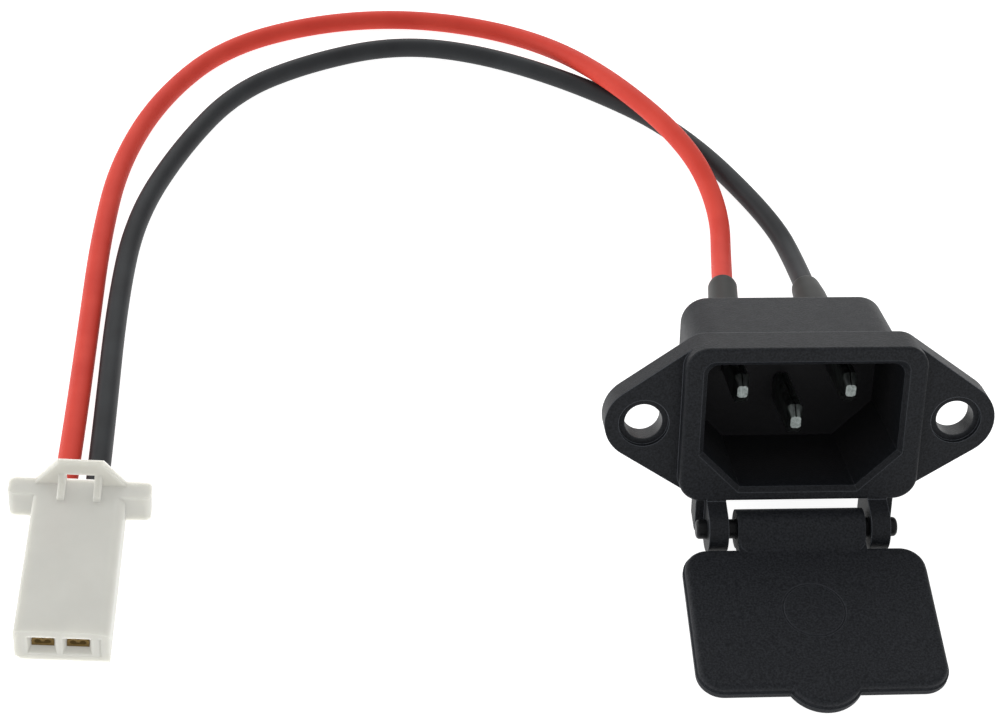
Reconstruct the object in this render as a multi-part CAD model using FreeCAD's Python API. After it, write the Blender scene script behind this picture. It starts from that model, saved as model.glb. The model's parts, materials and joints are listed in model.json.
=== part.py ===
import FreeCAD, Part
import math
import os

# Panel inlet for a battery charger lead: a rhombic flange with a hinged dust cover,
# three blades, and two soldered leads that end in a two-way nylon connector.
# Row frame: X across the flange, Y towards the back, +Z up, floor at z = 0.
# Socket axes: x across, y = 0 at the front of the fixing ears and growing backwards,
# z = 0 on the line through the two fixing holes.

V = FreeCAD.Vector
X_AXIS = V(1, 0, 0)
Y_AXIS = V(0, 1, 0)
Z_AXIS = V(0, 0, 1)
EPS = 0.01

# Flange and raised frame
hole_pitch = 40.0
hole_dia = 4.8
counterbore_dia = 6.4
counterbore_depth = 0.6
ear_end_radius = 5.0
flange_thick = 3.4
frame_width = 30.7
frame_height = 21.3
frame_corner = 3.0
frame_proud = 1.75
frame_edge_round = 0.4
core_rise = 0.3

# Body behind the flange and the plug cavity in it
body_width = 26.9
body_height = 20.0
body_corner = 3.4
body_depth = 16.9
body_rear_round = 0.8
cavity_width = 24.9
cavity_height = 17.1
cavity_floor = 13.6
cavity_upper_corner = 1.5
cavity_cut = 5.0
rim_chamfer = 0.6

# Contact blades
blade_thick = 2.0
blade_height = 4.0
blade_spacing = 14.0
line_rise = 2.6
earth_drop = 1.4
live_tip = 3.5
earth_tip = 2.65
tip_bevel_length = 1.3
tip_face_width = 1.35
tip_face_height = 1.6
blade_round_share = 0.3
fold_gap = 0.12
fold_depth = 1.2
tab_width = 2.8
tab_thick = 0.8
tab_length = 6.5
tab_hole_dia = 1.3
tab_hole_inset = 1.8
tab_root = 0.3
tab_round = 0.84

# Hinge
hinge_forward = 2.5
hinge_below_frame = 3.6
lug_radius = 2.95
lug_thick = 2.5
lug_inner = 9.15
lug_back = 3.0
pin_dia = 2.5
pin_length = 26.0
pin_end_round = 0.5
cover_side_shift = 0.3
pin_running_gap = 0.06
gusset_outer = 12.8
gusset_back = 3.0
gusset_drop = 4.9
gusset_front = 0.3
gusset_slope = 1.0

# Dust cover
barrel_radius = 2.5
barrel_side_gap = 0.95
cover_width = 31.2
cover_start = 3.4
cover_length = 21.2
cover_corner = 3.3
inner_leaf = 1.1
outer_leaf = 1.1
leaf_step = 0.2
outer_edge_round = 0.5
inner_edge_round = 0.7
closed_gap = 0.1
thumb_radius = 5.05
thumb_reach = 2.4
gate_ring_dia = 7.75
gate_ring_width = 0.25
gate_ring_depth = 0.12
gate_ring_from_hinge = 13.2
neck_fillet = 3.9
neck_corner = 2.2
neck_heel = 2.0

# Leads, sleeves and solder joints
wire_dia = 3.0
core_dia = 0.9
core_on_tab = 4.0
solder_radius = 1.2
solder_film = 0.08
solder_length = 3.6
sleeve_dia = 4.6
sleeve_end_dia = 4.0
sleeve_taper = 4.0
sleeve_bore = 3.3
sleeve_start = 0.6
sleeve_end_chamfer = 0.2
sleeve_bore_past_jacket = 0.4
jacket_from_tab = 3.0
red_drift = 7.6
black_drift = 2.4
sleeve_before_landing = 3.5

# Two-way connector
plug_width = 11.4
plug_height = 5.6
plug_length = 24.4
plug_left_round = 0.4
plug_right_round = 1.2
plug_low_chamfer = 0.7
wing_span = 17.9
wing_length = 2.9
wing_height = 4.3
wing_round = 0.8
cell_width = 3.5
cell_height = 3.1
front_cell_width = 2.9
front_cell_height = 2.5
mouth_depth = 0.8
cell_pitch = 4.2
cell_shift = -0.3
cell_floor = 1.4
key_width = 0.25
key_depth = 0.15
key_inset = 1.3
key_height = 3.6
arch_height = 3.9
arch_thick = 1.0
arch_root = 0.4
arch_top_round = 0.3
arch_top_width = 5.5
arch_window_width = 3.6
arch_window_height = 1.9
rib_width = 0.9
rib_length = 2.8
rib_top_height = 1.9
rib_step_height = 1.2
rib_toe_height = 0.75
plug_turn = -0.5
plug_roll = 4.4
plug_left = 91.84
plug_forward = 18.92

# Receptacle terminals
terminal_width = 2.7
terminal_sheet = 0.35
terminal_curl = 0.75
terminal_slot_height = 0.4
terminal_box_length = 6.5
terminal_neck_width = 1.5
terminal_neck_length = 1.6
crimp_outer = 1.7
crimp_length = 3.2
saddle_width = 1.05
terminal_setback = 1.0
core_past_crimp = 0.4
jacket_in_cell = 11.0
lead_straight = 8.0

# Share of the shorter run that each bend of a lead takes up
arc_share = 0.45

# Route of each lead across the floor, from the socket to the connector: x, y and the height
# above where the lead lies on the floor; the red lead crosses over the black one
crossing_lift = 3.4
red_points = [
    (-1.6, 62.3, 0),
    (-6.5, 73.8, crossing_lift),
    (-16.4, 90.6, crossing_lift),
    (-29.0, 105.3, 0),
    (-45.5, 110.1, 0),
    (-62.0, 109.0, 0),
    (-77.4, 102.3, 0),
    (-86.8, 89.2, 0),
    (-92.0, 73.3, 0),
    (-93.4, 56.3, 0),
    (-93.65, 37.3, 0),
]
black_points = [
    (4.2, 63.7, 0),
    (-5.0, 76.5, 0),
    (-22.0, 93.4, 0),
    (-36.0, 100.5, 0),
    (-50.0, 102.9, 0),
    (-64.3, 97.9, 0),
    (-75.3, 90.5, 0),
    (-82.9, 77.0, 0),
    (-88.6, 61.3, 0),
    (-90.0, 43.3, 0),
]


def rounded_rectangle(width, height, radius, y, centre_z=0.0, start_x=0.0):
    """Face in the x-z plane at depth y, with four equal corner arcs."""
    hw = width / 2.0
    hh = height / 2.0
    k = radius * (1 - math.sqrt(0.5))
    corners = [(1, 1), (-1, 1), (-1, -1), (1, -1)]
    edges = []
    last = None
    first = None
    for sx, sz in corners:
        flat_x = V(start_x + sx * (hw - radius), y, centre_z + sz * hh)
        flat_z = V(start_x + sx * hw, y, centre_z + sz * (hh - radius))
        middle = V(start_x + sx * (hw - k), y, centre_z + sz * (hh - k))
        begin, end = (flat_z, flat_x) if sx * sz > 0 else (flat_x, flat_z)
        if last is None:
            first = begin
        else:
            edges.append(Part.LineSegment(last, begin).toShape())
        edges.append(Part.Arc(begin, middle, end).toShape())
        last = end
    edges.append(Part.LineSegment(last, first).toShape())
    return Part.Face(Part.Wire(edges))


def polygon_xz(points, y):
    """Face in the x-z plane at depth y."""
    corners = [V(x, y, z) for x, z in points]
    return Part.Face(Part.makePolygon(corners + corners[:1]))


def polygon_yz(points, x):
    """Face in the y-z plane at x."""
    corners = [V(x, y, z) for y, z in points]
    return Part.Face(Part.makePolygon(corners + corners[:1]))


def edges_where(shape, test):
    """Edges whose middle point passes a test."""
    found = []
    for edge in shape.Edges:
        middle = edge.valueAt((edge.FirstParameter + edge.LastParameter) / 2.0)
        if test(edge, middle):
            found.append(edge)
    return found


def tangent_outline(circles, y):
    """Face round a convex ring of circles, given anticlockwise as (x, z, radius)."""
    edges = []
    count = len(circles)
    touches = []
    for i in range(count):
        x0, z0, r0 = circles[i]
        x1, z1, r1 = circles[(i + 1) % count]
        heading = math.atan2(z1 - z0, x1 - x0)
        tilt = math.asin((r0 - r1) / math.hypot(x1 - x0, z1 - z0))
        out = heading - math.pi / 2 + tilt
        touches.append(out)
        start = V(x0 + r0 * math.cos(out), y, z0 + r0 * math.sin(out))
        end = V(x1 + r1 * math.cos(out), y, z1 + r1 * math.sin(out))
        edges.append(Part.LineSegment(start, end).toShape())
    ring = []
    for i in range(count):
        x0, z0, r0 = circles[i]
        before = touches[i - 1]
        after = touches[i]
        if after < before:
            after += 2 * math.pi
        middle = (before + after) / 2.0
        spots = [V(x0 + r0 * math.cos(a), y, z0 + r0 * math.sin(a)) for a in (before, middle, after)]
        ring.append(Part.Arc(spots[0], spots[1], spots[2]).toShape())
        ring.append(edges[i])
    return Part.Face(Part.Wire(ring))


def cylinder_x(radius, x0, x1, y, z):
    """Cylinder along x."""
    return Part.makeCylinder(radius, x1 - x0, V(x0, y, z), X_AXIS)


def cylinder_y(radius, y0, y1, x, z):
    """Cylinder along y."""
    return Part.makeCylinder(radius, y1 - y0, V(x, y0, z), Y_AXIS)


def box(x0, x1, y0, y1, z0, z1):
    """Box between two corners."""
    return Part.makeBox(x1 - x0, y1 - y0, z1 - z0, V(x0, y0, z0))


# Where the hinge and the rear foot of the leaning socket are, in socket axes
hinge_y = -hinge_forward
hinge_z = core_rise - frame_height / 2.0 - hinge_below_frame
rear_foot_z = core_rise - body_height / 2.0
foot_reach = math.hypot(body_depth - hinge_y, rear_foot_z - hinge_z)
lean = math.atan2(rear_foot_z - hinge_z, body_depth - hinge_y) + math.asin(lug_radius / foot_reach)
lean_deg = math.degrees(lean)
hinge_height = lug_radius

# The open cover slopes down from the hinge until its rounded far edge rests on the floor
cover_inner_level = hinge_forward - frame_proud - closed_gap
cover_outer_level = cover_inner_level - inner_leaf - outer_leaf
edge_reach = cover_start + cover_length + thumb_reach - outer_edge_round
edge_drop = -(cover_outer_level + outer_edge_round)
edge_arm = math.hypot(edge_reach, edge_drop)
cover_slope = math.asin((hinge_height - outer_edge_round) / edge_arm) - math.atan2(edge_drop, edge_reach)
cover_slope_deg = math.degrees(cover_slope)


def socket_to_floor(shape):
    """Lean a socket piece back on its lugs and its rear bottom edge."""
    placed = shape.copy()
    placed.translate(V(0, -hinge_y, -hinge_z))
    placed.rotate(V(0, 0, 0), X_AXIS, -lean_deg)
    placed.translate(V(0, hinge_y * math.cos(lean) + hinge_z * math.sin(lean), hinge_height))
    return placed


def frame_face(y):
    """Outline of the raised frame at depth y."""
    return rounded_rectangle(frame_width, frame_height, frame_corner, y, core_rise)


def cavity_face(y, grow=0.0):
    """Plug cavity: two rounded upper corners and two cut lower corners."""
    hw = cavity_width / 2.0 + grow
    top = cavity_height / 2.0 + grow
    low = -cavity_height / 2.0 - grow
    r = cavity_upper_corner
    k = r * (1 - math.sqrt(0.5))
    cut = cavity_cut + grow * (2 - math.sqrt(2))
    edges = [
        Part.LineSegment(V(-hw + cut, y, low), V(hw - cut, y, low)).toShape(),
        Part.LineSegment(V(hw - cut, y, low), V(hw, y, low + cut)).toShape(),
        Part.LineSegment(V(hw, y, low + cut), V(hw, y, top - r)).toShape(),
        Part.Arc(V(hw, y, top - r), V(hw - k, y, top - k), V(hw - r, y, top)).toShape(),
        Part.LineSegment(V(hw - r, y, top), V(-hw + r, y, top)).toShape(),
        Part.Arc(V(-hw + r, y, top), V(-hw + k, y, top - k), V(-hw, y, top - r)).toShape(),
        Part.LineSegment(V(-hw, y, top - r), V(-hw, y, low + cut)).toShape(),
        Part.LineSegment(V(-hw, y, low + cut), V(-hw + cut, y, low)).toShape(),
    ]
    return Part.Wire(edges)


def eye_tangent(y, z):
    """Point on the front of the lug's eye where a line from (y, z) touches it."""
    reach = math.hypot(hinge_y - y, hinge_z - z)
    heading = math.atan2(hinge_z - z, hinge_y - y) - math.asin(lug_radius / reach)
    length = math.sqrt(reach ** 2 - lug_radius ** 2)
    return y + length * math.cos(heading), z + length * math.sin(heading)


def hinge_lug(side):
    """One lug: a round eye with a web up to the frame, and a wider gusset behind it."""
    inner = side * lug_inner
    outer = side * (lug_inner + lug_thick)
    x0, x1 = min(inner, outer), max(inner, outer)
    eye = cylinder_x(lug_radius, x0, x1, hinge_y, hinge_z)
    frame_bottom = core_rise - frame_height / 2.0
    reach = lug_radius * math.sqrt(0.5)
    web = polygon_yz([
        (-frame_proud, frame_bottom + frame_corner / 2.0),
        (-frame_proud, frame_bottom),
        eye_tangent(-frame_proud, frame_bottom),
        (hinge_y, hinge_z),
        (hinge_y + reach, hinge_z - reach),
        (gusset_front + EPS, hinge_z),
        (lug_back, frame_bottom + frame_corner / 2.0),
    ], x0).extrude(V(x1 - x0, 0, 0))
    g_outer = side * gusset_outer
    g0, g1 = min(inner, g_outer), max(inner, g_outer)
    gusset_low = frame_bottom - gusset_drop
    gusset = polygon_yz([
        (-gusset_front, frame_bottom + frame_corner / 2.0),
        (-gusset_front, gusset_low),
        (gusset_front, gusset_low),
        (gusset_back, gusset_low + gusset_slope),
        (gusset_back, frame_bottom + frame_corner / 2.0),
    ], g0).extrude(V(g1 - g0, 0, 0))
    return eye.fuse([web, gusset])


def socket_housing():
    """Flange, raised frame, body, cavity and hinge lugs, moulded in one."""
    corner_x = frame_width / 2.0 - frame_corner
    corner_z = frame_height / 2.0 - frame_corner
    half_pitch = hole_pitch / 2.0
    ring = [
        (half_pitch, 0.0, ear_end_radius),
        (corner_x, core_rise + corner_z, frame_corner),
        (-corner_x, core_rise + corner_z, frame_corner),
        (-half_pitch, 0.0, ear_end_radius),
        (-corner_x, core_rise - corner_z, frame_corner),
        (corner_x, core_rise - corner_z, frame_corner),
    ]
    flange = tangent_outline(ring, 0.0).extrude(V(0, flange_thick, 0))
    frame = frame_face(-frame_proud).extrude(V(0, frame_proud + EPS, 0))
    body = rounded_rectangle(body_width, body_height, body_corner, flange_thick - EPS, core_rise)
    body = body.extrude(V(0, body_depth - flange_thick + EPS, 0))
    rear = edges_where(body, lambda e, m: abs(m.y - body_depth) < EPS and m.z > rear_foot_z + EPS)
    body = body.makeFillet(body_rear_round, [e for e in rear if e.BoundBox.YLength < EPS])
    front = edges_where(frame, lambda e, m: abs(m.y + frame_proud) < EPS)
    frame = frame.makeFillet(frame_edge_round, front)
    solid = flange.fuse([frame, body, hinge_lug(1), hinge_lug(-1)]).removeSplitter()
    front_y = -frame_proud
    rim = Part.makeLoft([cavity_face(front_y - EPS, rim_chamfer), cavity_face(front_y + rim_chamfer)], True)
    hollow = Part.Face(cavity_face(front_y)).extrude(V(0, cavity_floor - front_y, 0))
    solid = solid.cut(hollow).cut(rim)
    for side in (-1, 1):
        x = side * half_pitch
        solid = solid.cut(cylinder_y(hole_dia / 2.0, -1, flange_thick + 1, x, 0))
        solid = solid.cut(cylinder_y(counterbore_dia / 2.0, -1, counterbore_depth, x, 0))
    half_pin = pin_length / 2.0
    solid = solid.cut(cylinder_x(pin_dia / 2.0, -half_pin, half_pin, hinge_y, hinge_z))
    for x, z, _ in blade_places():
        slot = blade_section(cavity_floor - EPS, x, z)
        solid = solid.cut(slot.extrude(V(0, body_depth - cavity_floor + 2 * EPS, 0)))
    return solid


def blade_places():
    """Line, neutral and earth blades: x, z and the depth of the tip."""
    half = blade_spacing / 2.0
    live_z = line_rise
    return [
        (-half, live_z, live_tip),
        (half, live_z, live_tip),
        (0.0, -earth_drop, earth_tip),
    ]


def blade_section(y, x, z, width=blade_thick, height=blade_height):
    """Cross-section of a folded blade, round on its long edges."""
    return rounded_rectangle(width, height, width * blade_round_share, y, z, x)


def contact_blade(x, z, tip, drift):
    """Folded sheet blade with a bevelled tip and a solder tab behind the body."""
    nose = Part.makeLoft([
        blade_section(tip, x, z, tip_face_width, tip_face_height).OuterWire,
        blade_section(tip + tip_bevel_length, x, z).OuterWire,
    ], True)
    end = body_depth + tab_root
    shank = blade_section(tip + tip_bevel_length, x, z).extrude(V(0, end - tip - tip_bevel_length, 0))
    blade = nose.fuse(shank)
    top = z + blade_height / 2.0
    seam = box(x - fold_gap / 2.0, x + fold_gap / 2.0, tip - 1, cavity_floor, top - fold_depth, top + 1)
    blade = blade.cut(seam)
    half = tab_thick / 2.0
    tab = box(-half, half, 0, tab_root + tab_length, -tab_width / 2.0, tab_width / 2.0)
    upright = edges_where(tab, lambda e, m: m.y > tab_length and e.BoundBox.XLength > half)
    tab = tab.makeFillet(tab_round, upright)
    hole_y = tab_root + tab_length - tab_hole_inset
    tab = tab.cut(cylinder_x(tab_hole_dia / 2.0, -1, 1, hole_y, 0))
    return blade.fuse(lead_place(tab, x, z, drift)).removeSplitter()


def lead_place(shape, x, z, drift):
    """Put a piece made along +y from the tab root in place, turned sideways by drift."""
    placed = shape.copy()
    placed.rotate(V(0, 0, 0), Z_AXIS, -drift)
    placed.translate(V(x, body_depth, z))
    return placed


def hinge_pin():
    """Plain pin, pressed into the lugs and standing out on both sides."""
    half = pin_length / 2.0
    pin = cylinder_x(pin_dia / 2.0, -half, half, hinge_y, hinge_z)
    ends = edges_where(pin, lambda e, m: abs(abs(m.x) - half) < EPS)
    return pin.makeFillet(pin_end_round, ends)


def cover_leaf(thick, shrink, level):
    """One leaf of the open cover, lying along -y from the hinge, with its thumb tab."""
    near = -cover_start - shrink
    far = -cover_start - cover_length + shrink
    hw = cover_width / 2.0 - shrink
    leaf = box(-hw, hw, far, near, level, level + thick)
    upright = edges_where(leaf, lambda e, m: e.BoundBox.ZLength > thick / 2.0)
    leaf = leaf.makeFillet(cover_corner - shrink, upright)
    thumb_y = -cover_start - cover_length - thumb_reach + thumb_radius
    thumb = Part.makeCylinder(thumb_radius - shrink, thick, V(0, thumb_y, level))
    return leaf.fuse(thumb).removeSplitter()


def dust_cover():
    """Cover in the hinge's own axes: hinge at the origin, cover along -y, inner face up."""
    inner_face = cover_inner_level
    outer_face = cover_outer_level
    step_level = outer_face + outer_leaf
    inner = cover_leaf(inner_leaf, leaf_step, step_level)
    inner = inner.makeFillet(inner_edge_round, edges_where(inner, lambda e, m: abs(m.z - inner_face) < EPS))
    outer = cover_leaf(outer_leaf, 0.0, outer_face)
    outer = outer.makeFillet(outer_edge_round, edges_where(outer, lambda e, m: abs(m.z - outer_face) < EPS))
    barrel_half = lug_inner - barrel_side_gap
    barrel = cylinder_x(barrel_radius, -barrel_half, barrel_half, 0, 0)
    fillet_start = math.sqrt((barrel_radius + neck_fillet) ** 2 - (inner_face + neck_fillet) ** 2)
    share = barrel_radius / (barrel_radius + neck_fillet)
    touch_y = -fillet_start * share
    touch_z = (inner_face + neck_fillet) * share
    neck = polygon_yz([
        (0, 0),
        (touch_y, touch_z),
        (-fillet_start, inner_face),
        (-cover_start - cover_corner, inner_face),
        (-cover_start - cover_corner, outer_face + outer_edge_round),
        (-cover_start, outer_face + outer_edge_round),
        (0, -neck_heel),
    ], -barrel_half).extrude(V(2 * barrel_half, 0, 0))
    hollow_z = inner_face + neck_fillet
    hollow = cylinder_x(neck_fillet, -barrel_half - 1, barrel_half + 1, -fillet_start, hollow_z)
    neck = neck.cut(hollow)
    for side in (-1, 1):
        edge_x = side * (barrel_half + EPS)
        middle_x = side * (barrel_half - neck_corner)
        middle_y = neck_corner - fillet_start
        x0, x1 = min(edge_x, middle_x), max(edge_x, middle_x)
        corner = box(x0, x1, -fillet_start, middle_y, inner_face, barrel_radius)
        quarter = Part.makeCylinder(neck_corner, barrel_radius, V(middle_x, middle_y, inner_face))
        neck = neck.cut(corner.cut(quarter))
    cover = inner.fuse([outer, barrel, neck]).removeSplitter()
    bore = cylinder_x(pin_dia / 2.0 + pin_running_gap, -barrel_half - 1, barrel_half + 1, 0, 0)
    cover = cover.cut(bore)
    ring_place = V(0, -gate_ring_from_hinge, inner_face - gate_ring_depth)
    ring = Part.makeCylinder(gate_ring_dia / 2.0 + gate_ring_width / 2.0, 1, ring_place)
    ring = ring.cut(Part.makeCylinder(gate_ring_dia / 2.0 - gate_ring_width / 2.0, 1, ring_place))
    return cover.cut(ring)


def cover_to_floor(shape):
    """Put the open cover on the hinge, sloping down until its far edge rests."""
    placed = shape.copy()
    placed.rotate(V(0, 0, 0), X_AXIS, cover_slope_deg)
    placed.translate(V(cover_side_shift, hinge_y * math.cos(lean) + hinge_z * math.sin(lean), hinge_height))
    return placed


def path_and_radii(points):
    """Straight runs joined by tangent arcs, each as large as its two runs allow."""
    count = len(points)
    runs = [points[i + 1].sub(points[i]).Length for i in range(count - 1)]
    edges = []
    radii = []
    here = points[0]
    for i in range(1, count - 1):
        into = points[i].sub(points[i - 1]).normalize()
        away = points[i + 1].sub(points[i]).normalize()
        half_turn = into.getAngle(away) / 2.0
        setback = arc_share * min(runs[i - 1], runs[i])
        radius = setback / math.tan(half_turn)
        start = points[i].sub(V(into).multiply(setback))
        end = points[i].add(V(away).multiply(setback))
        inward = V(away).sub(into).normalize()
        sagitta = radius * (1.0 / math.cos(half_turn) - 1.0)
        middle = points[i].add(inward.multiply(sagitta))
        edges.append(Part.LineSegment(here, start).toShape())
        edges.append(Part.Arc(start, middle, end).toShape())
        radii.append(radius)
        here = end
    edges.append(Part.LineSegment(here, points[-1]).toShape())
    return Part.Wire(edges), radii


def tube(points, radius):
    """Round solid along a route."""
    path, radii = path_and_radii(points)
    heading = points[1].sub(points[0])
    section = Part.Face(Part.Wire(Part.makeCircle(radius, points[0], heading)))
    solid = path.makePipe(section)
    return solid, path, radii


def export(name, shape):
    """Write one node and say what it holds."""
    shape.exportStep("parts/" + name + ".step")
    print(name, "solids", len(shape.Solids), "valid", shape.isValid(), "volume", round(shape.Volume, 2))


def solder_joint():
    """Bare core laid along the tab, and the solder that holds it there."""
    aside = tab_thick / 2.0 + solder_film + core_dia / 2.0
    tab_end = tab_root + tab_length
    core = cylinder_y(core_dia / 2.0, tab_end - core_on_tab, tab_end + jacket_from_tab, aside, 0)
    middle = tab_end - core_on_tab / 2.0
    blob = cylinder_y(solder_radius, middle - solder_length / 2.0, middle + solder_length / 2.0, 0, 0)
    keep = box(tab_thick / 2.0, solder_radius + 1, 0, tab_end, -solder_radius, solder_radius)
    return core, blob.common(keep).cut(core)


def sleeve(path, start, tab, lean_in, length):
    """Shrunk sleeve over the tab and the first stretch of the lead's own path."""
    first, bend = path.Edges[0], path.Edges[1]
    line_end = first.valueAt(first.LastParameter)
    line = Part.LineSegment(start, line_end).toShape()
    share = (length - line.Length) / bend.Length
    last = bend.FirstParameter + share * (bend.LastParameter - bend.FirstParameter)
    arc = bend.Curve.toShape(bend.FirstParameter, last)
    run = Part.Wire([line, arc])
    heading = line_end.sub(start)
    skin = run.makePipe(Part.Face(Part.Wire(Part.makeCircle(sleeve_end_dia / 2.0, start, heading))))
    jacket = run.makePipe(Part.Face(Part.Wire(Part.makeCircle(wire_dia / 2.0, start, heading))))
    rim = edges_where(skin, lambda e, m: m.sub(arc.valueAt(last)).Length < sleeve_dia)
    skin = skin.makeChamfer(sleeve_end_chamfer, [e for e in rim if e.Closed])
    tab_end = tab_root + tab_length + jacket_from_tab + sleeve_bore_past_jacket
    wide = cylinder_y(sleeve_dia / 2.0, sleeve_start, tab_end, 0, 0)
    cone = Part.makeCone(sleeve_dia / 2.0, sleeve_end_dia / 2.0, sleeve_taper, V(0, tab_end, 0), Y_AXIS)
    skin = skin.fuse([lean_in(lead_place(wide, *tab)), lean_in(lead_place(cone, *tab))])
    bore = cylinder_y(sleeve_bore / 2.0, 0, tab_end, 0, 0)
    return skin.removeSplitter().cut(jacket).cut(lean_in(lead_place(bore, *tab)))


def plug_place(shape):
    """Put a connector piece on its right bottom edge, rolled a little by the leads."""
    placed = shape.copy()
    placed.rotate(V(0, 0, 0), Y_AXIS, plug_roll)
    placed.translate(V(0, 0, plug_width / 2.0 * math.sin(math.radians(plug_roll))))
    placed.rotate(V(0, 0, 0), Z_AXIS, plug_turn)
    placed.translate(V(-plug_left, -plug_forward, 0))
    return placed


def cell_places():
    """Middle of the left and the right cell, in the connector's axes."""
    half = cell_pitch / 2.0
    return [cell_shift - half, cell_shift + half]


def cell_outline(x, y, width, height):
    """Rectangular outline of a cell at depth y."""
    hw = width / 2.0
    low = cell_centre_z() - height / 2.0
    corners = [V(x - hw, y, low), V(x + hw, y, low), V(x + hw, y, low + height), V(x - hw, y, low + height)]
    return Part.makePolygon(corners + corners[:1])


def connector_housing():
    """Two-way nylon housing: body, side wings, latch arch with its two ribs."""
    hw = plug_width / 2.0
    body = box(-hw, hw, 0, plug_length, 0, plug_height)
    long_edges = edges_where(body, lambda e, m: e.BoundBox.YLength > 1)
    spots = [(e, e.Vertexes[0].Point) for e in long_edges]
    top_left = [e for e, spot in spots if spot.z > EPS and spot.x < 0]
    top_right = [e for e, spot in spots if spot.z > EPS and spot.x > 0]
    low_left = [e for e, spot in spots if spot.z < EPS and spot.x < 0]
    left = body.makeFillet(plug_left_round, top_left)
    right = body.makeFillet(plug_right_round, top_right)
    low = body.makeChamfer(plug_low_chamfer, low_left)
    body = left.common(right).common(low)
    wing_half = wing_span / 2.0
    wing_low = plug_height - wing_height
    wings = box(-wing_half, wing_half, plug_length - wing_length, plug_length, wing_low, plug_height)
    wings = wings.makeFillet(wing_round, edges_where(wings, lambda e, m: e.BoundBox.ZLength > 1))
    arch_front = plug_length - arch_thick
    arch = polygon_xz([
        (-hw, plug_height - arch_root),
        (hw, plug_height - arch_root),
        (hw, plug_height),
        (arch_top_width / 2.0, plug_height + arch_height),
        (-arch_top_width / 2.0, plug_height + arch_height),
        (-hw, plug_height),
    ], arch_front).extrude(V(0, arch_thick, 0))
    arch_top = edges_where(arch, lambda e, m: m.z > plug_height + arch_height - EPS)
    arch = arch.makeFillet(arch_top_round, arch_top)
    solid = body.fuse([wings, arch])
    for side in (-1, 1):
        inner = side * arch_window_width / 2.0
        outer = inner + side * rib_width
        x0, x1 = min(inner, outer), max(inner, outer)
        rib = polygon_yz([
            (arch_front - rib_length, plug_height - EPS),
            (arch_front + EPS, plug_height - EPS),
            (arch_front + EPS, plug_height + rib_top_height),
            (arch_front - rib_width, plug_height + rib_step_height),
            (arch_front - rib_length, plug_height + rib_toe_height),
        ], x0).extrude(V(x1 - x0, 0, 0))
        solid = solid.fuse(rib)
    half = arch_window_width / 2.0
    window_top = plug_height + arch_window_height
    window = box(-half, half, arch_front - 1, plug_length + 1, plug_height, window_top)
    solid = solid.cut(window).removeSplitter()
    rear_start = plug_length - jacket_in_cell - core_past_crimp
    for x in cell_places():
        rw = cell_width / 2.0
        rear = box(x - rw, x + rw, rear_start, plug_length + 1, cell_floor, cell_floor + cell_height)
        fw = front_cell_width / 2.0
        fh = front_cell_height / 2.0
        middle = cell_centre_z()
        front = box(x - fw, x + fw, -1, rear_start + EPS, middle - fh, middle + fh)
        mouth = Part.makeLoft([
            cell_outline(x, -EPS, cell_width, cell_height),
            cell_outline(x, mouth_depth, front_cell_width, front_cell_height),
        ], True)
        solid = solid.cut(rear).cut(front).cut(mouth)
    key_x = hw - key_inset
    key_low = (plug_height - key_height) / 2.0
    key = box(key_x, key_x + key_width, -1, key_depth, key_low, key_low + key_height)
    return solid.cut(key)


def cell_centre_z():
    """Height of the middle of a cell above the floor."""
    return cell_floor + cell_height / 2.0


def terminal(x):
    """Rolled receptacle with a neck and a crimp round the bare core."""
    hw = terminal_width / 2.0
    floor = cell_centre_z() - front_cell_height / 2.0
    y0 = terminal_setback
    y1 = y0 + terminal_box_length
    y2 = y1 + terminal_neck_length
    y3 = y2 + crimp_length
    plate = box(x - hw, x + hw, y0, y1, floor, floor + terminal_sheet)
    neck_half = terminal_neck_width / 2.0
    neck = box(x - neck_half, x + neck_half, y1, y3, floor, floor + terminal_sheet)
    pieces = [neck]
    curl_z = floor + terminal_curl
    for side in (-1, 1):
        curl_x = x + side * (hw - terminal_curl)
        curl = cylinder_y(terminal_curl, y0, y1, curl_x, curl_z)
        curl = curl.cut(cylinder_y(terminal_curl - terminal_sheet, y0 - 1, y1 + 1, curl_x, curl_z))
        pieces.append(curl)
    solid = plate.fuse(pieces)
    slot_half = hw - terminal_curl + EPS
    slot_low = floor + terminal_sheet
    slot = box(x - slot_half, x + slot_half, y0 - 1, y1 + 1, slot_low, slot_low + terminal_slot_height)
    solid = solid.cut(slot)
    centre_z = cell_centre_z()
    crimp = cylinder_y(crimp_outer / 2.0, y2, y3, x, centre_z)
    saddle = box(x - saddle_width / 2.0, x + saddle_width / 2.0, y2, y3, floor, centre_z)
    crimp = crimp.fuse(saddle).cut(cylinder_y(core_dia / 2.0, y2 - 1, y3 + 1, x, centre_z))
    return solid.fuse(crimp).removeSplitter()


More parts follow.
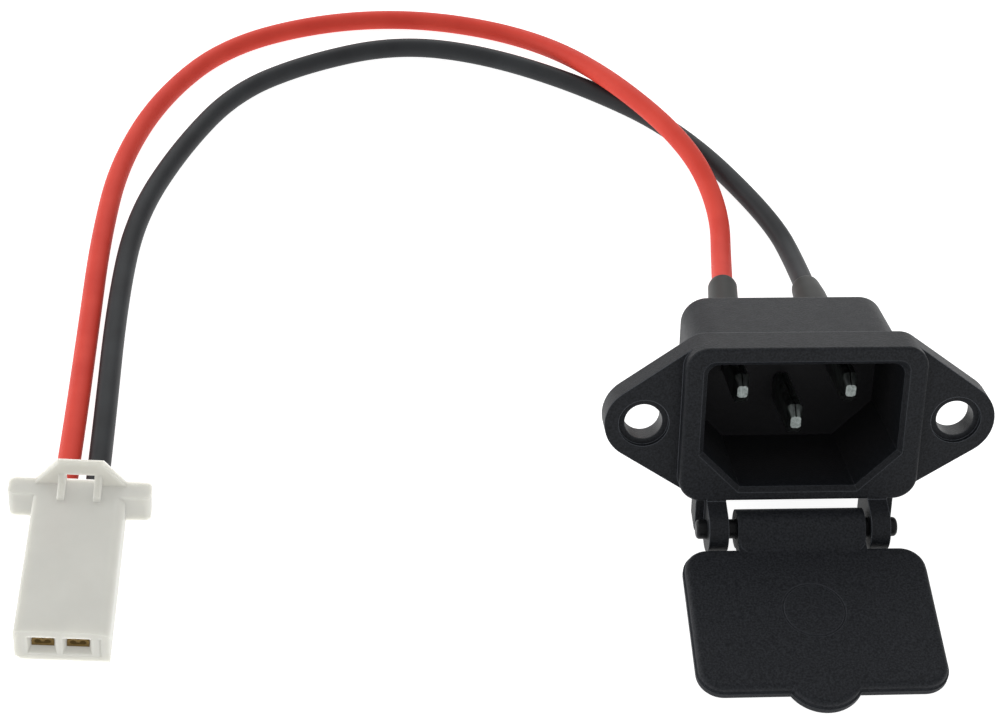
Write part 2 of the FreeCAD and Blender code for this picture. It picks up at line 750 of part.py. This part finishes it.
def main():
    os.makedirs("parts", exist_ok=True)
    nodes = {}
    blades = blade_places()
    drifts = [red_drift, black_drift, 0.0]
    nodes["socket_housing"] = socket_to_floor(socket_housing())
    for name, place, drift in zip(("line_pin", "neutral_pin", "earth_pin"), blades, drifts):
        nodes[name] = socket_to_floor(contact_blade(place[0], place[1], place[2], drift))
    nodes["hinge_pin"] = socket_to_floor(hinge_pin())
    nodes["dust_cover"] = cover_to_floor(dust_cover())

    # The origin is the middle of the socket's own box, on the floor
    extent = Part.makeCompound(list(nodes.values())).BoundBox
    centring = V(0, -(extent.YMin + extent.YMax) / 2.0, 0)
    for shape in nodes.values():
        shape.translate(centring)

    def lean_in(shape):
        """Lean a piece with the socket and centre it."""
        placed = socket_to_floor(shape)
        placed.translate(centring)
        return placed

    def on_tab_line(along, x, z, drift):
        """Point on the middle line of a tab, counted from the back of the body."""
        return lean_in(lead_place(Part.Vertex(V(0, along, 0)), x, z, drift)).Point

    cell_end = plug_length - jacket_in_cell
    crimp_begin = terminal_setback + terminal_box_length + terminal_neck_length
    for index, (colour, points) in enumerate((("red", red_points), ("black", black_points))):
        tab = (blades[index][0], blades[index][1], drifts[index])
        root = on_tab_line(0.0, *tab)
        fall = on_tab_line(1.0, *tab).sub(root)
        landing = (root.z - wire_dia / 2.0) / -fall.z
        jacket_start = on_tab_line(tab_root + tab_length + jacket_from_tab, *tab)
        cell_x = cell_places()[index]
        centre_z = cell_centre_z()
        cell_mouth = plug_place(Part.Vertex(V(cell_x, plug_length + lead_straight, centre_z))).Point
        jacket_stop = plug_place(Part.Vertex(V(cell_x, cell_end, centre_z))).Point
        lying = [V(px, py, wire_dia / 2.0 + lift) for px, py, lift in points]
        route = [jacket_start, on_tab_line(landing, *tab)] + lying + [cell_mouth, jacket_stop]
        solid, path, radii = tube(route, wire_dia / 2.0)
        nodes[colour + "_wire"] = solid
        section = math.pi * wire_dia ** 2 / 4.0
        print(colour, "lead length", round(path.Length, 1), "volume ratio",
              round(solid.Volume / (section * path.Length), 4),
              "radii", [round(r, 1) for r in radii])
        print(colour, "route", [(round(p.x, 2), round(p.y, 2), round(p.z, 2)) for p in route])
        sleeve_length = landing - sleeve_before_landing - sleeve_start
        sleeve_begin = on_tab_line(sleeve_start, *tab)
        nodes[colour + "_sleeve"] = sleeve(path, sleeve_begin, tab, lean_in, sleeve_length)
        core, solder = solder_joint()
        nodes[colour + "_core_socket_end"] = lean_in(lead_place(core, *tab))
        nodes[colour + "_solder"] = lean_in(lead_place(solder, *tab))
        nodes[colour + "_terminal"] = plug_place(terminal(cell_x))
        core = cylinder_y(core_dia / 2.0, crimp_begin - core_past_crimp, cell_end, cell_x, centre_z)
        nodes[colour + "_core_plug_end"] = plug_place(core)
    nodes["connector_housing"] = plug_place(connector_housing())
    for name, shape in nodes.items():
        export(name, shape)
    print("lean", round(lean_deg, 3), "cover slope", round(cover_slope_deg, 3))
    print("shift", round(centring.y, 3))
    hinge = lean_in(Part.Vertex(V(0, hinge_y, hinge_z))).Point
    print("hinge", round(hinge.y, 3), round(hinge.z, 3), "nodes", len(nodes))


main()
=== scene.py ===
import bmesh
import bpy
import json
import math
from mathutils import Matrix, Vector


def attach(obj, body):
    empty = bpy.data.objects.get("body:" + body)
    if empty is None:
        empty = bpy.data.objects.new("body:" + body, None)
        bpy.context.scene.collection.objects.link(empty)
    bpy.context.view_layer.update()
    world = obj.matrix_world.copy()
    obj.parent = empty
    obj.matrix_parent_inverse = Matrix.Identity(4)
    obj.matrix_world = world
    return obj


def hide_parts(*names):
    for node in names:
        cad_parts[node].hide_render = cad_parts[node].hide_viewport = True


# Charging port socket, lying on a pale floor with its dust cover open.
# Row frame, metres: X across the flange, Y towards the back, +Z up.

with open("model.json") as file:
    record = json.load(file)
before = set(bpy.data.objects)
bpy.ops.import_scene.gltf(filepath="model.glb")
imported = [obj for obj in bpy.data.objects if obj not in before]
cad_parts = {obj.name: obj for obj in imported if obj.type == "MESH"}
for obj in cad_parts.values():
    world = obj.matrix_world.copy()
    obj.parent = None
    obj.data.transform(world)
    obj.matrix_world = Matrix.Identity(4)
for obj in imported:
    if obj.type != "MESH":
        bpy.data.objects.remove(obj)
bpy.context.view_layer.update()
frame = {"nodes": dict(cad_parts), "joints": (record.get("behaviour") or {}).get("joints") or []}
NODES = frame["nodes"]

MM = 0.001

# The socket leans back on its hinge lugs. Its own axes: Y into the plug cavity, Z up its face,
# with zero in the middle of the flange's face.
LEAN = math.radians(20.899)
HINGE = Vector(frame["joints"][0]["pos_m"])
# The hinge pin again, in the socket's own axes
HINGE_IN_SOCKET = Vector((0, -2.5, -13.95)) * MM
# Cavity and fixing holes, a little wider than they are in part.py. They bound the painted cavity shade and
# the painted light on the hole walls.
CAVITY_MOUTH = -0.5 * MM
CAVITY_FULL_DARK = 5 * MM
CAVITY_FLOOR = 13.7 * MM
CAVITY_HALF_WIDTH = 12.55 * MM
CAVITY_HALF_HEIGHT = 8.65 * MM
HOLE_FROM_MIDDLE = 20.0 * MM
HOLE_RADIUS = 2.45 * MM


# Colours and nodes

def hex_colour(text):
    """Linear RGBA from an sRGB hex string."""
    values = [int(text[i:i + 2], 16) / 255.0 for i in (1, 3, 5)]
    linear = [v / 12.92 if v <= 0.04045 else ((v + 0.055) / 1.055) ** 2.4 for v in values]
    return (*linear, 1.0)


def fill(tree, node, values):
    """Give a node's sockets their values: outputs are linked, and constants set on the node itself."""
    for key, value in values.items():
        if isinstance(value, bpy.types.NodeSocket):
            tree.links.new(value, node.inputs[key])
        else:
            node.inputs[key].default_value = value


def add(tree, kind, inputs, **settings):
    """Add a shader node with its settings and the values of its sockets."""
    node = tree.nodes.new(kind)
    for key, value in settings.items():
        setattr(node, key, value)
    fill(tree, node, inputs)
    return node


def new_material(name):
    """Empty material with a Principled shader; returns the material, its tree and the shader."""
    mat = bpy.data.materials.new(name)
    mat.use_nodes = True
    return mat, mat.node_tree, mat.node_tree.nodes["Principled BSDF"]


def blotches(tree, size, detail=3.0, rough=0.5, stretch=(1, 1, 1)):
    """Uneven share from 0 to 1 whose blotches are about the given size, fixed to the piece."""
    place = add(tree, "ShaderNodeTexCoord", {}).outputs["Object"]
    stretched = add(tree, "ShaderNodeMapping", {"Vector": place, "Scale": stretch})
    noise = add(tree, "ShaderNodeTexNoise", {
        "Vector": stretched.outputs["Vector"], "Scale": 1.0 / size, "Detail": detail, "Roughness": rough,
    })
    return noise.outputs["Fac"]


def turning(tree, share, start, stop, first, second):
    """Colour that turns from the first to the second as the share goes from start to stop."""
    along = add(tree, "ShaderNodeMapRange", {"Value": share, "From Min": start, "From Max": stop})
    # Sockets 0, 6 and 7 of a colour mix are its factor and two colours, and output 2 is its colour
    mix = add(tree, "ShaderNodeMix", {0: along.outputs["Result"], 6: first, 7: second}, data_type="RGBA")
    return mix.outputs[2]


# Places on the socket

def socket_place(tree):
    """Object coordinates turned into the leaning socket's own axes."""
    place = add(tree, "ShaderNodeTexCoord", {}).outputs["Object"]
    shift = HINGE_IN_SOCKET - Matrix.Rotation(LEAN, 3, "X") @ HINGE
    own = add(tree, "ShaderNodeMapping", {"Vector": place, "Rotation": (LEAN, 0, 0), "Location": shift})
    return own.outputs["Vector"]


def cavity_share(tree, own):
    """1 deep in the plug cavity and 0 outside it."""
    folded = add(tree, "ShaderNodeVectorMath", {0: own}, operation="ABSOLUTE").outputs["Vector"]
    reach = add(tree, "ShaderNodeSeparateXYZ", {"Vector": folded}).outputs
    depth = add(tree, "ShaderNodeSeparateXYZ", {"Vector": own}).outputs["Y"]
    share = add(tree, "ShaderNodeMapRange", {
        "Value": depth, "From Min": CAVITY_MOUTH, "From Max": CAVITY_FULL_DARK,
    }).outputs["Result"]
    for axis, limit in (("X", CAVITY_HALF_WIDTH), ("Y", CAVITY_FLOOR), ("Z", CAVITY_HALF_HEIGHT)):
        within = add(tree, "ShaderNodeMath", {0: reach[axis], 1: limit}, operation="LESS_THAN")
        both = add(tree, "ShaderNodeMath", {0: share, 1: within.outputs["Value"]}, operation="MULTIPLY")
        share = both.outputs["Value"]
    return share


def hole_wall_share(tree, own):
    """1 on the walls of the two fixing holes and 0 elsewhere."""
    folded = add(tree, "ShaderNodeVectorMath", {0: own}, operation="ABSOLUTE").outputs["Vector"]
    flat = add(tree, "ShaderNodeVectorMath", {0: folded, 1: (1, 0, 1)}, operation="MULTIPLY")
    away = add(tree, "ShaderNodeVectorMath", {
        0: flat.outputs["Vector"], 1: (HOLE_FROM_MIDDLE, 0, 0),
    }, operation="DISTANCE")
    return add(tree, "ShaderNodeMath", {
        0: away.outputs["Value"], 1: HOLE_RADIUS,
    }, operation="LESS_THAN").outputs["Value"]


# Finishes

# Rays that round each sharp edge: enough that the round stays free of noise
EDGE_RAYS = 6
PIT_SIZE = 0.25 * MM
PIT_DEPTH = 0.06 * MM
WEAR_SIZE = 1.43 * MM


def pitted_black(name, tones, edge_highlight, edge, rough, grain, gloss, hollow=False):
    """Matte black surface with fine pits, and a painted highlight along its sharp edges."""
    mat, tree, shader = new_material(name)
    low, high = (hex_colour(tone) for tone in tones)
    pits = blotches(tree, PIT_SIZE, detail=2.0, rough=0.6)
    colour = turning(tree, pits, 0.34, 0.66, low, high)
    # A sharp edge is where the rounded normal leaves the flat one: their product falls below 1. There the
    # colour turns to the painted edge highlight, as if the edges caught the light.
    rounded = add(tree, "ShaderNodeBevel", {"Radius": edge}, samples=EDGE_RAYS).outputs["Normal"]
    flat = add(tree, "ShaderNodeNewGeometry", {}).outputs["Normal"]
    alike = add(tree, "ShaderNodeVectorMath", {0: rounded, 1: flat}, operation="DOT_PRODUCT").outputs["Value"]
    colour = turning(tree, alike, 1.0, 0.78, colour, hex_colour(edge_highlight))
    dullness = add(tree, "ShaderNodeMapRange", {
        "Value": blotches(tree, WEAR_SIZE), "To Min": rough - 0.05, "To Max": rough + 0.05,
    }).outputs["Result"]
    if hollow:
        own = socket_place(tree)
        # Painted shade: the plug cavity gets one flat tone, without pits or painted edge highlight, that
        # stands in for the shade inside it. A polished core pin leaves the holes smooth, and their walls are
        # painted lighter, painted light from the bright floor.
        smooth = hole_wall_share(tree, own)
        colour = turning(tree, cavity_share(tree, own), 0.0, 1.0, colour, hex_colour("#212123"))
        colour = turning(tree, smooth, 0.0, 1.0, colour, hex_colour("#3a3b3d"))
        dullness = add(tree, "ShaderNodeMapRange", {
            "Value": smooth, "To Min": dullness, "To Max": 0.4,
        }).outputs["Result"]
    relief = add(tree, "ShaderNodeBump", {
        "Strength": grain, "Distance": PIT_DEPTH, "Height": pits, "Normal": rounded,
    })
    fill(tree, shader, {
        "Base Color": colour, "Roughness": dullness, "Specular IOR Level": gloss,
        "Normal": relief.outputs["Normal"],
    })
    return mat


def lead_skin(name, tones, rough):
    """Soft skin of a lead: a low sheen, slow clouds of tone and a faint orange peel."""
    mat, tree, shader = new_material(name)
    low, high = (hex_colour(tone) for tone in tones)
    clouds = blotches(tree, 6.25 * MM, detail=2.0)
    peel = add(tree, "ShaderNodeBump", {
        "Strength": 0.12, "Distance": 0.04 * MM, "Height": blotches(tree, 0.556 * MM, detail=2.0),
    })
    fill(tree, shader, {
        "Base Color": turning(tree, clouds, 0.35, 0.65, low, high),
        "Roughness": rough, "Specular IOR Level": 0.2, "Normal": peel.outputs["Normal"],
    })
    return mat


def bare_metal(name, tones, rough, size, along=(1, 1, 1)):
    """Metal with fine marks; along squeezes the marks into streaks."""
    mat, tree, shader = new_material(name)
    low, high = (hex_colour(tone) for tone in tones)
    marks = blotches(tree, size, detail=4.0, rough=0.6, stretch=along)
    dullness = add(tree, "ShaderNodeMapRange", {
        "Value": marks, "To Min": rough - 0.06, "To Max": rough + 0.08,
    })
    rounded = add(tree, "ShaderNodeBevel", {"Radius": 0.12 * MM}, samples=EDGE_RAYS)
    relief = add(tree, "ShaderNodeBump", {
        "Strength": 0.15, "Distance": 0.03 * MM, "Height": marks, "Normal": rounded.outputs["Normal"],
    })
    fill(tree, shader, {
        "Base Color": turning(tree, marks, 0.3, 0.7, low, high), "Metallic": 1.0,
        "Roughness": dullness.outputs["Result"], "Normal": relief.outputs["Normal"],
    })
    return mat


def milky_nylon(name):
    """Uncoloured nylon: light goes in, scatters and comes out again, most of all at thin walls. A painted
    glow over a darker base flattens its shading.
    """
    mat, tree, shader = new_material(name)
    clouds = blotches(tree, 3.85 * MM)
    rounded = add(tree, "ShaderNodeBevel", {"Radius": 0.4 * MM}, samples=EDGE_RAYS)
    relief = add(tree, "ShaderNodeBump", {
        "Strength": 0.1, "Distance": 0.04 * MM, "Height": blotches(tree, 0.385 * MM, detail=2.0),
        "Normal": rounded.outputs["Normal"],
    })
    fill(tree, shader, {
        "Base Color": turning(tree, clouds, 0.3, 0.7, hex_colour("#96968f"), hex_colour("#9c9c95")),
        "Subsurface Weight": 1.0, "Subsurface Radius": (1.0, 0.97, 0.9), "Subsurface Scale": 3 * MM,
        "Roughness": 0.45, "Specular IOR Level": 0.3,
        # Painted glow: the emission stands in for light scattered through the milky walls
        "Emission Color": hex_colour("#cbcac5"), "Emission Strength": 0.46,
        "Normal": relief.outputs["Normal"],
    })
    return mat


# Glass-filled nylon from a spark-eroded mould: dead matte, a little blue, with a visible grain. The
# real grain is near 0.1 mm and is drawn at 0.25 mm, so that it shows in the render.
# The third colour of each black finish is its painted edge highlight; hollow adds the painted cavity shade
# and the painted light on the hole walls.
socket_black = pitted_black("black moulded nylon", ("#0f1114", "#212327"), "#5c6066",
                            0.2 * MM, 0.5, 0.9, 0.15, hollow=True)
# Moulded polypropylene of the cover: softer than the socket's nylon, with a finer and flatter grain
cover_black = pitted_black("black moulded polypropylene", ("#111317", "#26282c"), "#3e4146",
                           0.2 * MM, 0.55, 0.5, 0.14)
# Black oxide on drawn steel: darker than the plastic round it, and nearly without grain
pin_black = pitted_black("black oxide steel", ("#0e0f11", "#17181a"), "#2c2e31",
                         0.1 * MM, 0.42, 0.2, 0.15)
# Nickel plate on stamped blades: grey and satin, with streaks along the blade
nickel = bare_metal("nickel plate", ("#5f6462", "#98a09e"), 0.34, 0.385 * MM, (1, 0.12, 1))
# Extruded soft PVC of the two jackets: full colour with a low, broad sheen
red_pvc = lead_skin("red PVC", ("#c83a2d", "#d04234"), 0.55)
black_pvc = lead_skin("black PVC", ("#252628", "#2c2e30"), 0.5)
# Shrunk polyolefin sleeve: warmer and duller than the PVC
shrink = lead_skin("black heat-shrink sleeve", ("#20211f", "#272826"), 0.5)
# Bare copper strands, seen only where a jacket ends
copper = bare_metal("bare copper", ("#9a5a3a", "#c07a52"), 0.35, 0.556 * MM)
# Tin solder: bright and uneven, as it set
solder = bare_metal("tin solder", ("#9c9c98", "#c6c6c2"), 0.28, 1.11 * MM)
# Rolled brass of the terminals, painted dark brown for the shade of their cells, with rolling streaks. A
# painted glow stands in for the light that the milky housing lets through to it.
brass = bare_metal("rolled brass", ("#4e3f24", "#6c5732"), 0.36, 0.556 * MM, (1, 0.2, 1))
fill(brass.node_tree, brass.node_tree.nodes["Principled BSDF"], {
    "Emission Color": hex_colour("#8a7448"), "Emission Strength": 0.22,
})
# Uncoloured nylon 66 of the connector: off-white and milky, with soft edges and a painted glow
nylon = milky_nylon("natural nylon")

FINISH = {
    "socket_housing": socket_black,
    "dust_cover": cover_black,
    "line_pin": nickel,
    "neutral_pin": nickel,
    "earth_pin": nickel,
    "hinge_pin": pin_black,
    "red_core_socket_end": copper,
    "black_core_socket_end": copper,
    "red_core_plug_end": copper,
    "black_core_plug_end": copper,
    "red_solder": solder,
    "black_solder": solder,
    "red_terminal": brass,
    "black_terminal": brass,
    "connector_housing": nylon,
    "red_wire": red_pvc,
    "black_wire": black_pvc,
}
for node_name, finish in FINISH.items():
    mesh = NODES[node_name].data
    mesh.materials.clear()
    mesh.materials.append(finish)


# Leads: the control points of part.py in millimetres. In each, the three points round the crossing are moved,
# up to 4.1 mm, to follow the photograph.

RED = [
    (-5.7, 31.37, 8.03), (-3.26, 48.46, 1.5), (-1.8, 62.3, 1.5), (-5.9, 74.0, 4.9), (-17.6, 91.5, 4.9),
    (-29.0, 105.3, 1.5), (-45.5, 110.1, 1.5), (-62.0, 109.0, 1.5), (-77.4, 102.3, 1.5), (-86.8, 89.2, 1.5),
    (-92.0, 73.3, 1.5), (-93.4, 56.3, 1.5), (-93.55, 37.3, 1.5), (-93.4, 13.5, 3.56), (-93.89, -5.5, 3.56),
]
BLACK = [
    (7.41, 31.44, 8.0), (8.17, 48.46, 1.5), (5.5, 60.2, 1.5), (-5.8, 80.5, 1.5), (-20.0, 92.1, 1.5),
    (-36.0, 100.5, 1.5), (-50.0, 102.9, 1.5), (-64.3, 97.9, 1.5), (-75.3, 90.5, 1.5), (-82.9, 77.0, 1.5),
    (-88.6, 61.3, 1.5), (-90.0, 43.3, 1.5), (-89.54, 13.46, 3.24), (-89.7, -5.54, 3.24),
]
WIRE_RADIUS = 1.5 * MM


def new_object(name, data):
    """Object at the origin that holds the mesh, curve, light or camera."""
    obj = bpy.data.objects.new(name, data)
    bpy.context.scene.collection.objects.link(obj)
    return obj


def lead(name, points, finish, node):
    """Round lead along a smooth curve, in place of its CAD tube."""
    curve = bpy.data.curves.new(name, "CURVE")
    curve.dimensions = "3D"
    curve.bevel_depth = WIRE_RADIUS
    curve.bevel_resolution = 10
    curve.resolution_u = 16
    curve.use_fill_caps = True
    spline = curve.splines.new("NURBS")
    spline.points.add(len(points) - 1)
    for point, place in zip(spline.points, points):
        point.co = (place[0] * MM, place[1] * MM, place[2] * MM, 1.0)
    spline.order_u = 3
    spline.use_endpoint_u = True
    obj = new_object(name, curve)
    curve.materials.append(finish)
    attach(obj, "housing")
    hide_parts(node)
    return obj


red_lead = lead("red_lead", RED, red_pvc, "red_wire")
black_lead = lead("black_lead", BLACK, black_pvc, "black_wire")


# Heat-shrink sleeves over the solder tabs and the first stretch of the leads

SLEEVE_BEFORE_LEAD = 9.2 * MM
SLEEVE_BORE = 1.53
SLEEVE_SIDES = 48
# Distance along the sleeve and its radius there, in millimetres
RED_SKIN = [(0, 2.3), (9.6, 2.3), (12.5, 2.1), (20.2, 2.08), (20.55, 2.0), (20.75, 1.85), (20.8, 1.7)]
BLACK_SKIN = [(0, 2.35), (12.0, 2.4), (16.2, 2.3), (19.7, 2.03), (20.05, 1.97), (20.25, 1.84), (20.3, 1.7)]


def middle_line(lead_piece):
    """Points of a lead's own smooth line, with the straight stretch over the tab before it."""
    bare = lead_piece.data.copy()
    bare.bevel_depth = 0.0
    bare.resolution_u = 32
    probe = bpy.data.objects.new("probe", bare)
    mesh = bpy.data.meshes.new_from_object(probe)
    points = [vertex.co.copy() for vertex in mesh.vertices]
    bpy.data.objects.remove(probe)
    bpy.data.curves.remove(bare)
    bpy.data.meshes.remove(mesh)
    heading = (points[1] - points[0]).normalized()
    return [points[0] - heading * SLEEVE_BEFORE_LEAD] + points


def point_along(points, distance):
    """Point at a distance along a line of points."""
    for here, there in zip(points, points[1:]):
        step = (there - here).length
        if distance <= step:
            break
        distance -= step
    return here + (there - here) * (distance / step)


def ring_place(points, distance, radius):
    """Matrix that puts a unit circle square across the line."""
    middle = point_along(points, distance)
    reach = 0.5 * MM
    before = point_along(points, max(distance - reach, 0))
    ahead = (point_along(points, distance + reach) - before).normalized()
    across = ahead.cross(Vector((0, 0, 1))).normalized()
    turned = Matrix((across, across.cross(ahead), -ahead)).transposed().to_4x4()
    return Matrix.Translation(middle) @ turned @ Matrix.Diagonal((radius, radius, radius, 1))


def skin_stations(skin):
    """Rings about 1 mm apart along the skin, then back again along the bore."""
    stations = []
    for (start, wide), (stop, narrow) in zip(skin, skin[1:]):
        steps = max(1, round(stop - start))
        for i in range(steps):
            share = i / steps
            stations.append((start + (stop - start) * share, wide + (narrow - wide) * share))
    stations.append(skin[-1])
    return stations + [(distance, SLEEVE_BORE) for distance, _ in reversed(stations)]


def sleeve(name, lead_piece, skin, node):
    """Shrunk sleeve: a skin of changing radius outside and a bore inside, closed at both ends."""
    points = middle_line(lead_piece)
    places = [ring_place(points, distance * MM, radius * MM) for distance, radius in skin_stations(skin)]
    bm = bmesh.new()
    bmesh.ops.create_circle(bm, segments=SLEEVE_SIDES, radius=1.0, matrix=places[0])
    rim = list(bm.edges)
    for before, after in zip(places, places[1:] + places[:1]):
        made = bmesh.ops.extrude_edge_only(bm, edges=rim)["geom"]
        fresh = {item for item in made if isinstance(item, bmesh.types.BMVert)}
        rim = [item for item in made if isinstance(item, bmesh.types.BMEdge) and fresh.issuperset(item.verts)]
        bmesh.ops.transform(bm, matrix=after @ before.inverted(), verts=list(fresh))
    bmesh.ops.remove_doubles(bm, verts=bm.verts, dist=0.001 * MM)
    bmesh.ops.recalc_face_normals(bm, faces=bm.faces)
    for face in bm.faces:
        face.smooth = True
    mesh = bpy.data.meshes.new(name)
    bm.to_mesh(mesh)
    bm.free()
    mesh.set_sharp_from_angle(angle=math.radians(50))
    obj = new_object(name, mesh)
    mesh.materials.append(shrink)
    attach(obj, "housing")
    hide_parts(node)
    return obj


red_shrink = sleeve("red_lead_sleeve", red_lead, RED_SKIN, "red_sleeve")
black_shrink = sleeve("black_lead_sleeve", black_lead, BLACK_SKIN, "black_sleeve")


# Stage, light and camera

FLOOR_HALF = 3.0
LIT_PLACE = Vector((-0.04, 0.04, 0.0))


def floor():
    """Plain pale floor, far larger than the view."""
    bm = bmesh.new()
    bmesh.ops.create_grid(bm, x_segments=1, y_segments=1, size=FLOOR_HALF)
    mesh = bpy.data.meshes.new("floor")
    bm.to_mesh(mesh)
    bm.free()
    obj = new_object("floor", mesh)
    # White paper sweep that glows a little, so that it burns out to the photograph's plain white
    mat, tree, shader = new_material("white paper sweep")
    fill(tree, shader, {
        "Base Color": hex_colour("#c8c8c8"), "Roughness": 0.9, "Specular IOR Level": 0.0,
        "Emission Color": (1, 1, 1, 1), "Emission Strength": 0.9,
    })
    mesh.materials.append(mat)


def area_light(name, place, size, power):
    """Soft square light aimed at the middle of the part."""
    data = bpy.data.lights.new(name, "AREA")
    data.size = size
    data.energy = power
    obj = new_object(name, data)
    obj.location = place
    obj.rotation_euler = (LIT_PLACE - obj.location).to_track_quat("-Z", "Y").to_euler()


floor()
area_light("back light", (-0.05, 0.9, 0.55), size=0.9, power=3.4)
area_light("left light", (-0.9, 0.35, 0.3), size=0.7, power=3.6)

world = bpy.data.worlds.new("studio")
world.use_nodes = True
background = world.node_tree.nodes["Background"]
background.inputs["Color"].default_value = (1, 1, 1, 1)
background.inputs["Strength"].default_value = 0.75
bpy.context.scene.world = world

# Camera of the photograph: where it stands, where it looks and how far it is rolled
CAMERA_PLACE = Vector((-54.27, -174.04, 208.03)) * MM
CAMERA_AIM = Vector((0.0612, 0.7021, -0.7094))
CAMERA_ROLL = math.radians(3.0)

camera_data = bpy.data.cameras.new("camera")
camera_data.sensor_width = 36.0
camera_data.lens = 75.6
camera_data.clip_start = 0.01
camera_data.clip_end = 20.0
camera = new_object("camera", camera_data)
forward = CAMERA_AIM.normalized()
level = forward.cross(Vector((0, 0, 1))).normalized()
upright = level.cross(forward)
right = level * math.cos(CAMERA_ROLL) + upright * math.sin(CAMERA_ROLL)
up = right.cross(forward)
turn = Matrix((right, up, -forward)).transposed()
camera.matrix_world = Matrix.Translation(CAMERA_PLACE) @ turn.to_4x4()
bpy.context.scene.camera = camera
bpy.context.scene.view_settings.view_transform = "Standard"
